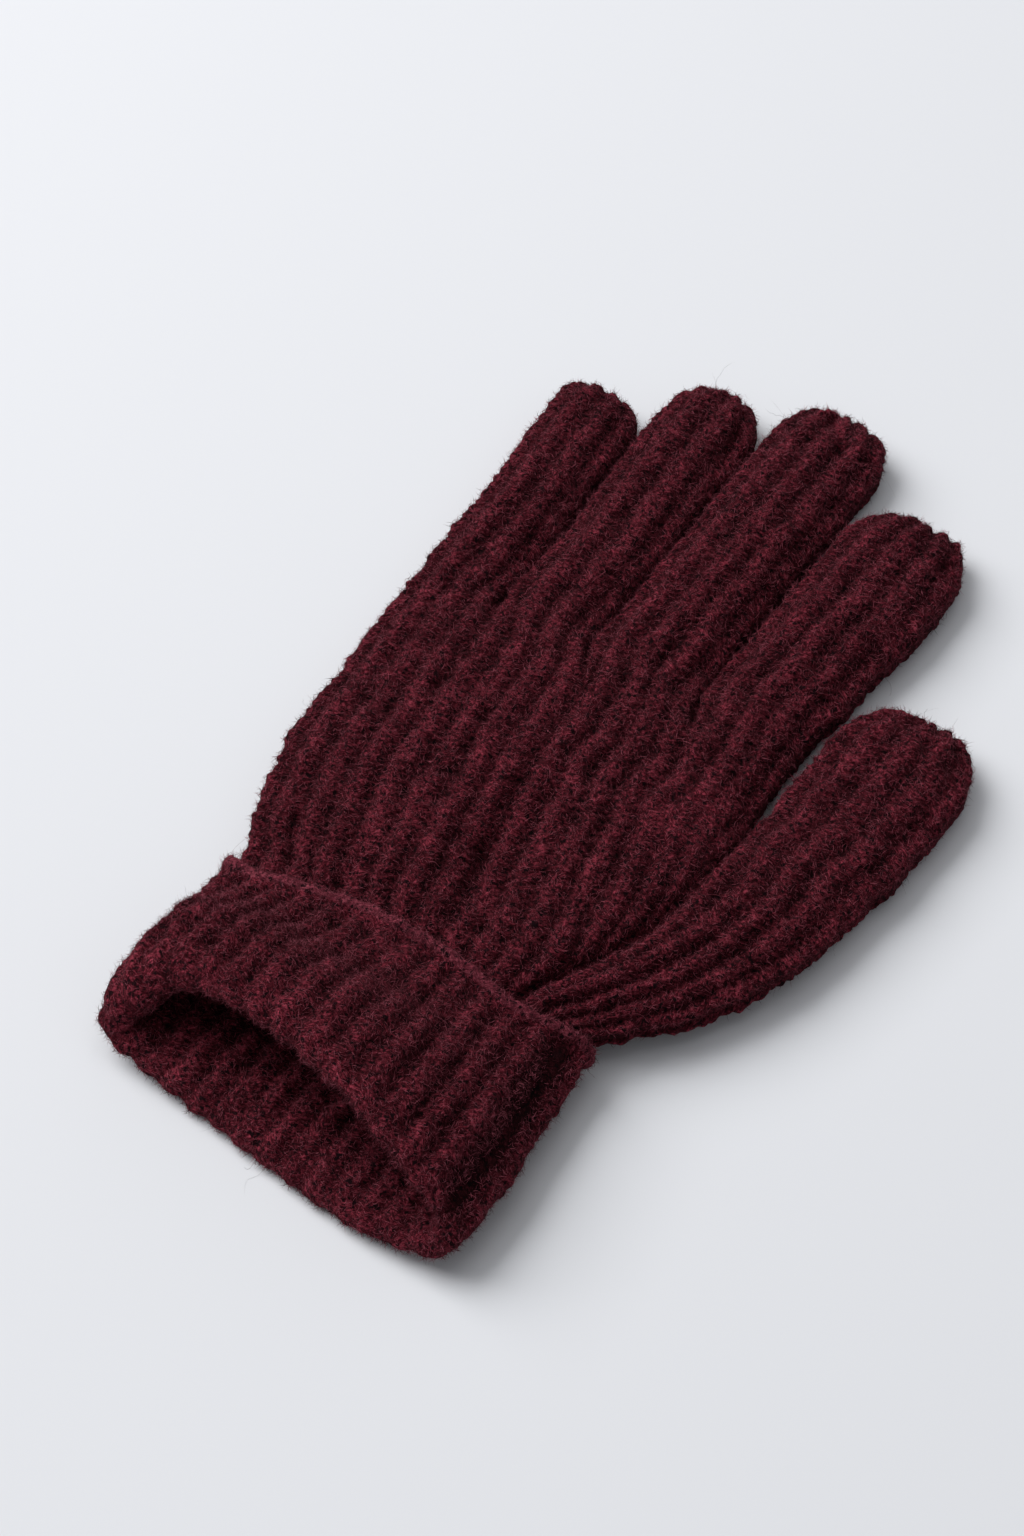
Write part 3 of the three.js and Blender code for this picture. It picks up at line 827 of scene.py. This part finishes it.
def clean_faces(faces, groups):
    """Faces on welded vertices, without those that closed up."""
    made = []
    for f in faces:
        g = groups[f]
        same = sum((g == np.roll(g, 1, axis=1)).astype(int)[:, k] for k in range(f.shape[1]))
        made.append(g[same == 0])
        if f.shape[1] == 4:
            for row in g[same == 1]:
                kept = [row[k] for k in range(4) if row[k] != row[k - 1]]
                if len(set(kept)) == 3:
                    made.append(np.array([kept]))
    sizes = sorted({f.shape[1] for f in made})
    return [np.concatenate([f for f in made if f.shape[1] == s]) for s in sizes]


def vertex_numbers(surface, grid, sheet=0):
    """The surface's vertex numbers on a sheet of a grid, in rows and columns."""
    return numbered(surface["starts"][grid.name, sheet], grid.shape)


def patch_lines(surface, grid, sheet, r0, r1, c0, c1):
    """Vertex numbers of a patch, and its four border lines with the way its outer faces run along them."""
    part = vertex_numbers(surface, grid, sheet)[r0:r1 + 1, c0:c1 + 1]
    lines = {"s": (part[0], True), "e": (part[:, -1], True),
             "n": (part[-1], False), "w": (part[:, 0], False)}
    return part, lines


def wall_thickness(surface, grid):
    """How far the inner face lies behind the base surface: less where a tube is pinched flat."""
    if len(grid.sheets) == 1:
        return np.full(grid.shape, WALL)
    low, high = [surface["base"][vertex_numbers(surface, grid, s)] for s in range(2)]
    return np.clip(0.30 * np.linalg.norm(low - high, axis=-1), 0.06, WALL)


def knit_piece(name, surface, patches):
    """A closed shell of knit. A patch is (grid, sheet, first row, last row, first column, last column,
    sides that are cut open), the sides as letters of n, e, s and w."""
    count = len(surface["points"])
    inner, faces, outer_index = surface["base"].copy(), [], []
    for grid, sheet, r0, r1, c0, c1, cut_sides in patches:
        part, lines = patch_lines(surface, grid, sheet, r0, r1, c0, c1)
        thick = wall_thickness(surface, grid)[r0:r1 + 1, c0:c1 + 1]
        inner[part] = surface["base"][part] - surface["base_normals"][part] * thick[..., None]
        quads = quads_of(part)
        inside = quads_of(part[::COARSE, ::COARSE] + count)[:, [0, 3, 2, 1]]
        flip = grid.flips[sheet]
        faces += [quads[:, ::-1], inside[:, ::-1]] if flip else [quads, inside]
        outer_index.append(part.reshape(-1))
        for side in cut_sides:
            line, forward = lines[side]
            near = line[::COARSE] + count
            for k in range(COARSE):
                a, b = line[k:-1:COARSE], line[k + 1::COARSE]
                hub = near[:-1] if k < COARSE // 2 else near[1:]
                tris = np.stack([b, a, hub], 1)
                if k == COARSE // 2:
                    tris = np.concatenate([tris, np.stack([a, near[:-1], near[1:]], 1)])
                faces.append(tris if forward != flip else tris[:, ::-1])
    inner = group_mean(inner, surface["groups"])
    groups = np.concatenate([surface["groups"], surface["groups"] + surface["groups"].max() + 1])
    everything = np.concatenate([surface["points"], inner])
    all_normals = np.concatenate([surface["normals"], -surface["base_normals"]])
    by_group = np.zeros(groups.max() + 1, np.int64)
    by_group[groups] = np.arange(len(groups))
    faces = clean_faces(faces, groups)
    used = np.unique(np.concatenate([f.reshape(-1) for f in faces]))
    renumber = np.zeros(groups.max() + 1, np.int64)
    renumber[used] = np.arange(len(used))
    source = by_group[used]
    side = np.floor(surface["w"]) * 7.31 + np.where(surface["w"] % 1 < 0.5, 0.0, 3.1)
    yarn = np.stack([surface["stitch"] * COURSE, surface["across"] * 2.0, side], 1)
    # The height field also paints shade into the knit's colour: knit lying low in the valleys is darker.
    fields = {"height": np.tile(surface["height"], 2)[source], "flat_paler": np.tile(surface["flat_paler"], 2)[source],
              "yarn": np.tile(yarn, (2, 1))[source]}
    made = make_mesh(name, everything[source], [renumber[f] for f in faces], all_normals[source], fields)
    return made, np.concatenate(outer_index)


# ---- Fuzz ----
FUZZ_DENSITY = 4.6      # fibres on each square millimetre
UNDER_DENSITY = 0.5     # the same on the side that lies on the table
FUZZ_LENGTH = (1.1, 2.6)
FUZZ_RADIUS = 0.05
HAIR_DENSITY = 0.007    # long stray hairs on each square millimetre
HAIR_LENGTH = (4.0, 11.0)
HAIR_RADIUS = 0.028
HAIR_STEPS = 7


def unit(v):
    """Rows of vectors brought to length 1."""
    return v / (np.linalg.norm(v, axis=1, keepdims=True) + 1e-9)


def fibres(roots, normals, length, radius, rise, steps, wander):
    """Tapering closed fibres of a few straight steps each: their points, faces and tones."""
    n = len(roots)
    along = unit(np.cross(normals, RANDOM.normal(size=(n, 3))))
    heading = unit(along + normals * rise[:, None])
    side = unit(np.cross(normals, along))
    turns = np.arange(3) * 2 * math.pi / 3
    ring = side[:, None] * np.cos(turns)[:, None] + normals[:, None] * np.sin(turns)[:, None]
    at, points = roots - normals * 0.2, []
    for step in range(steps):
        points.append(at[:, None] + ring * radius[:, None, None] * (1 - 0.4 * step / steps))
        at = at + heading * length[:, None] / steps
        heading = unit(heading + wander * RANDOM.normal(size=(n, 3)) - normals * 0.1)
    points = np.concatenate([*points, at[:, None]], axis=1)
    points[..., 2] = np.maximum(points[..., 2], 0.05)
    one, last = [(2, 1, 0)], 3 * (steps - 1)
    for k in range(3):
        m = (k + 1) % 3
        for low in range(0, last, 3):
            one += [(low + k, low + m, low + 3 + m), (low + k, low + 3 + m, low + 3 + k)]
        one.append((last + k, last + m, last + 3))
    count = 3 * steps + 1
    faces = (np.array(one)[None] + np.arange(n)[:, None, None] * count).reshape(-1, 3)
    return points.reshape(-1, 3), faces, np.repeat(RANDOM.random(n), count)


def add_fuzz(name, surface, index):
    """Fuzz and a few long stray hairs for the outside of one piece."""
    area = surface["pitch"][index] / PER_RIB * ROW
    under = surface["under"][index]
    points, faces, tones, start = [], [], [], 0
    for density, length, radius, rise, steps, wander in (
            (np.where(under, UNDER_DENSITY, FUZZ_DENSITY), FUZZ_LENGTH, FUZZ_RADIUS, (0.1, 0.7), 2, 0.45),
            (np.where(under, 0, HAIR_DENSITY), HAIR_LENGTH, HAIR_RADIUS, (0.2, 1.3), HAIR_STEPS, 0.28)):
        roots = index[RANDOM.random(len(index)) < area * density]
        n = len(roots)
        made = fibres(surface["points"][roots], surface["normals"][roots], RANDOM.uniform(*length, n),
                      radius * RANDOM.uniform(0.6, 1.2, n), RANDOM.uniform(*rise, n), steps, wander)
        points.append(made[0])
        faces.append(made[1] + start)
        tones.append(made[2])
        start += len(made[0])
    fields = {"tone": np.concatenate(tones)}
    return make_mesh(name, np.concatenate(points), [np.concatenate(faces)], None, fields)


# ---- Cords: the side seam and the closing stitches ----
CORD_SIDES = 10
SEAM_RADIUS = 0.55
SEAM_SHADE = -1.2       # painted shade: the seam's yarn is as dark as the knit at this height
SEAM_LIFT = 0.15        # its middle lies this far over the knit
CLOSING_RADIUS = 0.75
CLOSING_POINTS = 48     # points along it
CLOSING_IN = 0.4        # how far the closing stitches lie inside the fingertip's end
PLY_TWIST = 3.4         # length of one turn of a two-ply yarn


def cord(name, path, facing, radius, height):
    """A two-ply yarn laid along a path, with its two plies as closed tubes and painted shade as dark as the
    knit's at a height.
    """
    along = unit(np.gradient(path, axis=0))
    side = unit(np.cross(along, facing))
    up = np.cross(side, along)
    length = np.concatenate([[0], np.cumsum(np.linalg.norm(np.diff(path, axis=0), axis=1))])
    taper = smooth(0, 2.0, length) * smooth(0, 2.0, length[-1] - length)
    n, points, faces, yarn = len(path), [], [], []
    ring_turns = np.arange(CORD_SIDES) * 2 * math.pi / CORD_SIDES
    for ply in range(2):
        turn = (2 * math.pi * length / PLY_TWIST + ply * math.pi)[:, None]
        centre = path + 0.55 * radius * (side * np.cos(turn) + up * np.sin(turn))
        ring = side[:, None] * np.cos(ring_turns)[:, None] + up[:, None] * np.sin(ring_turns)[:, None]
        tube = centre[:, None] + ring * (radius * 0.62 * (0.35 + 0.65 * taper))[:, None, None]
        start = sum(len(p) for p in points)
        index = numbered(start, (n, CORD_SIDES))
        ahead = np.roll(index, -1, axis=1)
        quads = np.stack([index[:-1], ahead[:-1], ahead[1:], index[1:]], -1).reshape(-1, 4)
        ends = start + n * CORD_SIDES
        caps = [np.stack([ahead[0], index[0], np.full(CORD_SIDES, ends)], -1),
                np.stack([index[-1], ahead[-1], np.full(CORD_SIDES, ends + 1)], -1)]
        points.append(np.concatenate([tube.reshape(-1, 3), centre[[0, -1]]]))
        faces += [quads, *caps]
        around = np.tile(ring_turns, n)
        stitch = np.repeat(length, CORD_SIDES)
        yarn.append(np.concatenate([np.stack([stitch, around * 0.5, np.full_like(around, 3.1 * ply)], 1),
                                    np.zeros((2, 3))]))
    yarn = np.concatenate(yarn)
    quads = np.concatenate([f for f in faces if f.shape[1] == 4])
    triangles = np.concatenate([f for f in faces if f.shape[1] == 3])
    return make_mesh(name, np.concatenate(points), [triangles, quads], None,
                     {"height": np.full(len(yarn), height), "flat_paler": np.zeros(len(yarn)), "yarn": yarn})


# ---- Materials ----
def node(tree, kind, **values):
    """A new node of a material, with some of its settings."""
    made = tree.nodes.new(kind)
    for key, value in values.items():
        setattr(made, key, value)
    return made


def attribute_node(tree, name):
    """The node that reads a per-vertex field of the mesh."""
    return node(tree, "ShaderNodeAttribute", attribute_name=name)


def noise_node(tree, vector, scale, detail, roughness=0.5):
    """The noise at a vector, as an output socket."""
    made = node(tree, "ShaderNodeTexNoise")
    made.inputs["Scale"].default_value = scale
    made.inputs["Detail"].default_value = detail
    made.inputs["Roughness"].default_value = roughness
    tree.links.new(vector, made.inputs["Vector"])
    return made.outputs["Fac"]


def range_node(tree, value, low, high, to_low=0.0, to_high=1.0):
    """A value moved from one range to another, as an output socket."""
    made = node(tree, "ShaderNodeMapRange")
    made.inputs["From Min"].default_value = low
    made.inputs["From Max"].default_value = high
    made.inputs["To Min"].default_value = to_low
    made.inputs["To Max"].default_value = to_high
    tree.links.new(value, made.inputs["Value"])
    return made.outputs["Result"]


def ramp_node(tree, value, stops):
    """A colour ramp over three (place, colour) stops, as an output socket."""
    made = node(tree, "ShaderNodeValToRGB")
    (low, dark), (middle, mid), (high, light) = stops
    ends = made.color_ramp.elements
    ends[0].position, ends[0].color = low, (*dark, 1)
    ends[1].position, ends[1].color = high, (*light, 1)
    ends.new(middle).color = (*mid, 1)
    tree.links.new(value, made.inputs["Fac"])
    return made.outputs["Color"]


def multiply_add(tree, value, factor, added):
    """value * factor + added, as an output socket."""
    made = node(tree, "ShaderNodeMath", operation="MULTIPLY_ADD")
    tree.links.new(value, made.inputs[0])
    made.inputs[1].default_value = factor
    tree.links.new(added, made.inputs[2])
    return made.outputs[0]


def woolly_shader(name, roughness, specular):
    """A new material with a matt shader and a faint sheen: the material and its shader."""
    material = bpy.data.materials.new(name)
    material.use_nodes = True
    shader = material.node_tree.nodes["Principled BSDF"]
    shader.inputs["Roughness"].default_value = roughness
    shader.inputs["Specular IOR Level"].default_value = specular
    shader.inputs["Sheen Weight"].default_value = 0.07
    shader.inputs["Sheen Roughness"].default_value = 0.4
    shader.inputs["Sheen Tint"].default_value = (1.0, 0.28, 0.34, 1)
    return material, shader


def knit_material(name, dark, mid, light):
    """Heathered brushed yarn: fibres along each stitch's leg, dark flecks, painted shade in the valleys and
    paler colour where the ribs are flattened.
    """
    material, shader = woolly_shader(name, 0.95, 0.05)
    tree = material.node_tree
    link = tree.links.new
    place = node(tree, "ShaderNodeTexCoord").outputs["Object"]
    strands = node(tree, "ShaderNodeMapping")
    strands.inputs["Scale"].default_value = (3.6, 0.8, 1.0)
    link(attribute_node(tree, "yarn").outputs["Vector"], strands.inputs["Vector"])
    fibre = noise_node(tree, strands.outputs["Vector"], 1.0, 3, 0.7)
    heather = noise_node(tree, place, 1150, 4, 0.75)
    patches = noise_node(tree, place, 160, 2)
    flecks = noise_node(tree, place, 1050, 2)

    both = node(tree, "ShaderNodeMath", operation="ADD")
    link(fibre, both.inputs[0])
    link(heather, both.inputs[1])
    total = multiply_add(tree, patches, 0.35, both.outputs[0])
    colour = ramp_node(tree, range_node(tree, total, 0.98, 1.40), [(0.0, dark), (0.5, mid), (1.0, light)])
    flecked = node(tree, "ShaderNodeMix", data_type="RGBA")
    link(range_node(tree, flecks, 0.55, 0.62), flecked.inputs["Factor"])
    link(colour, flecked.inputs["A"])
    flecked.inputs["B"].default_value = (*FLECK, 1)

    # Painted shade: the lower the knit lies in its valleys, by its height field, the darker its colour.
    depth = range_node(tree, attribute_node(tree, "height").outputs["Fac"], -1.5, 0.65, 0.22, 1.2)
    # Paler where the ribs' relief is flattened: on the cast-on edge, the mouth's lip and roll, and the lump
    # beside the thumb's crotch.
    brightness = multiply_add(tree, attribute_node(tree, "flat_paler").outputs["Fac"], 0.75, depth)
    shaded = node(tree, "ShaderNodeVectorMath", operation="SCALE")
    link(flecked.outputs["Result"], shaded.inputs[0])
    link(brightness, shaded.inputs["Scale"])
    link(shaded.outputs[0], shader.inputs["Base Color"])

    bump = node(tree, "ShaderNodeBump")
    bump.inputs["Strength"].default_value = 0.8
    bump.inputs["Distance"].default_value = 0.00035
    link(total, bump.inputs["Height"])
    link(bump.outputs["Normal"], shader.inputs["Normal"])
    return material


def fibre_material(name, dark, mid, light):
    """The fuzz: each fibre has one tone between dark and light."""
    material, shader = woolly_shader(name, 0.85, 0.08)
    tree = material.node_tree
    tone = attribute_node(tree, "tone").outputs["Fac"]
    colour = ramp_node(tree, tone, [(0.08, dark), (0.45, mid), (1.0, light)])
    tree.links.new(colour, shader.inputs["Base Color"])
    return material


FLECK = (0.006, 0.002, 0.003)
KNIT = knit_material("burgundy_rib_knit", (0.009, 0.0010, 0.0018), (0.055, 0.0056, 0.0100),
                     (0.23, 0.032, 0.050))
CAST_ON = knit_material("cast_on_edge_yarn", (0.030, 0.005, 0.008), (0.085, 0.013, 0.021),
                        (0.19, 0.04, 0.055))
FUZZ = fibre_material("burgundy_fuzz", (0.008, 0.0012, 0.0022), (0.074, 0.010, 0.017), (0.38, 0.095, 0.130))


def riding(body):
    """What makes a piece ride on one body."""
    return lambda piece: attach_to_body(piece, body)


def blending():
    """What leaves a piece where it is in the frame, with its placement applied to its mesh."""
    return lambda piece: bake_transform(piece)


def add_piece(name, patches, replaces, attach, material=KNIT):
    """A piece of knit with its fuzz. attach rides an object on a body or leaves it in place."""
    made, index = knit_piece(name, surface, patches)
    made.data.materials.append(material)
    fuzz = add_fuzz(f"{name}_fuzz", surface, index)
    fuzz.data.materials.append(FUZZ)
    for piece in (made, fuzz):
        attach(piece)
    if replaces:
        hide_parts(*replaces)


def add_hand():
    """The hand and the thumb's gusset, palm and back, and the wrist that goes under the cuff."""
    hand, palm = grids["hand"], grids["palm"]
    palm_cols, all_cols = PALM_RIBS * PER_RIB, ALL_RIBS * PER_RIB
    wrist_end, hand_end, palm_end = hand.cuts["wrist"], hand.shape[0] - 1, palm.shape[0] - 1
    for side, label in enumerate(("palm", "back")):
        add_piece(f"hand_{label}_side_knit", [
            (hand, side, wrist_end, hand_end, 0, palm_cols, "swe"),
            (palm, side, 0, palm_end, 0, palm_cols, "nwe"),
        ], [f"hand_{label}_side"], riding("hand"))
        add_piece(f"thumb_gusset_{label}_side_knit", [
            (hand, side, wrist_end, hand_end, palm_cols, all_cols, "swen"),
        ], [f"thumb_gusset_{label}_side"], riding("hand"))
    add_piece("wrist_knit", [(hand, side, 0, wrist_end, 0, all_cols, "sn") for side in range(2)],
              [], blending())


def add_finger(finger):
    """The lengths of a finger, one piece for each."""
    grid, parent = grids[finger], "hand"
    last_col = RIBS[finger] * PER_RIB
    for part, joint in PIECES[finger]:
        label = f"{finger}_{part}"
        r0, r1 = grid.cuts[label]
        cut_sides = "s" if part == "tip" else "sn"
        patches = [(grid, side, r0, r1, 0, last_col, cut_sides) for side in range(2)]
        add_piece(f"{label}_knit", patches, [label],
                  blending())
        parent = f"{label}_length"


def add_cuff():
    """The cuff's cast-on edge, turned-up band, inside and mouth."""
    cuff = grids["cuff"]
    half, around = CUFF_RIBS // 2 * PER_RIB, CUFF_RIBS * PER_RIB
    add_piece("cuff_cast_on_edge_knit", [(cuff, 0, *cuff.cuts["edge"], 0, around, "sn")],
              ["cuff_cast_on_edge"], riding("cuff"), CAST_ON)
    for label, first, last in (("palm", 0, half), ("back", half, around)):
        for part in ("turn_up", "inner"):
            add_piece(f"cuff_{part}_{label}_side_knit", [(cuff, 0, *cuff.cuts[part], first, last, "snwe")],
                      [f"cuff_{part}_{label}_side"], riding("cuff"))
    add_piece("cuff_fold_knit", [(cuff, 0, *cuff.cuts["fold"], 0, around, "sn")],
              ["cuff_fold"], riding("cuff"))


def add_cord(name, path, facing, radius, height, body, replaces):
    """A cord of the glove's yarn that rides on one body."""
    made = cord(name, path, facing, radius, height)
    made.data.materials.append(KNIT)
    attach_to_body(made, body)
    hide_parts(replaces)


def add_side_seam():
    """The seam's yarn, at the bottom of its groove in the turned-up band."""
    cuff = grids["cuff"]
    first, last = cuff.cuts["edge"][1] - COARSE, cuff.cuts["fold"][0] + 2 * COARSE
    line = vertex_numbers(surface, cuff)[first:last, 0]
    normals = surface["base_normals"][line]
    # The seam's yarn gets painted shade, as dark as the knit at the bottom of its groove.
    add_cord("cuff_side_seam_stitches", surface["points"][line] + SEAM_LIFT * normals, normals, SEAM_RADIUS,
             SEAM_SHADE, "cuff", "cuff_side_seam")


def add_closing_yarn(finger):
    """The yarn that draws a fingertip shut, just inside its closed end."""
    end_line = vertex_numbers(surface, grids[finger])[-1]
    ends = surface["base"][end_line[[0, -1]]]
    path = np.linspace(ends[0], ends[1], CLOSING_POINTS) - np.array([0, CLOSING_IN, 0])
    facing = np.tile([0.0, 0.0, 1.0], (len(path), 1))
    add_cord(f"{finger}_closing_yarn", path, facing, CLOSING_RADIUS, 0.0,
             f"{finger}_tip_length", f"{finger}_closing_stitches")


surface = shape_surface(list(grids.values()), soft_relief)
add_hand()
for finger in PIECES:
    add_finger(finger)
add_cuff()
add_side_seam()
for finger in PIECES:
    add_closing_yarn(finger)


# ---- Stage, light and camera ----
def plane(name, size, material):
    """A square on the ground."""
    mesh = bpy.data.meshes.new(name)
    h = size / 2
    mesh.from_pydata([(-h, -h, 0), (h, -h, 0), (h, h, 0), (-h, h, 0)], [], [(0, 1, 2, 3)])
    made = bpy.data.objects.new(name, mesh)
    mesh.materials.append(material)
    bpy.context.scene.collection.objects.link(made)
    return made


def pale_surface():
    """The matt, nearly white material of the surface under the glove."""
    material = bpy.data.materials.new("pale_surface")
    material.use_nodes = True
    shader = material.node_tree.nodes["Principled BSDF"]
    shader.inputs["Base Color"].default_value = (0.765, 0.775, 0.805, 1)
    shader.inputs["Roughness"].default_value = 0.9
    return material


def area_light(name, place, size, power):
    """A square soft light, in metres and watts, that looks at the glove."""
    data = bpy.data.lights.new(name, "AREA")
    data.energy, data.size = power, size
    made = bpy.data.objects.new(name, data)
    made.location = place
    made.rotation_euler = (-Vector(place)).to_track_quat("-Z", "Y").to_euler()
    bpy.context.scene.collection.objects.link(made)


def studio_world(strength):
    """Even, faintly cool light from all round."""
    world = bpy.data.worlds.new("studio")
    world.use_nodes = True
    background = world.node_tree.nodes["Background"]
    background.inputs["Color"].default_value = (0.95, 0.97, 1.0, 1)
    background.inputs["Strength"].default_value = strength
    bpy.context.scene.world = world


def add_camera(place, look, up):
    """The camera, from its place and the directions that it looks in and has upwards."""
    data = bpy.data.cameras.new("camera")
    data.lens, data.sensor_width, data.sensor_fit = 85, 36, "AUTO"
    data.clip_start = 0.01
    made = bpy.data.objects.new("camera", data)
    bpy.context.scene.collection.objects.link(made)
    turn = Matrix((look.cross(up), up, -look)).transposed().to_4x4()
    made.matrix_world = Matrix.Translation(place) @ turn
    bpy.context.scene.camera = made


TABLE_SIZE = 6.0        # in metres
CAMERA_PLACE = Vector((253.96, -333.63 + WRIST_Y, 625.29)) * MM
CAMERA_LOOK = Vector((-0.33938, 0.49698, -0.79864))
CAMERA_UP = Vector((-0.45038, 0.65952, 0.60182))
plane("table_surface", TABLE_SIZE, pale_surface())
area_light("softbox_left", place=(-1.70, -0.05, 1.70), size=1.9, power=61.0)
area_light("softbox_above", place=(-0.2, 0.2, 1.7), size=1.4, power=5.0)
studio_world(strength=0.275)
add_camera(CAMERA_PLACE, CAMERA_LOOK, CAMERA_UP)
bpy.context.scene.view_settings.view_transform = "Standard"
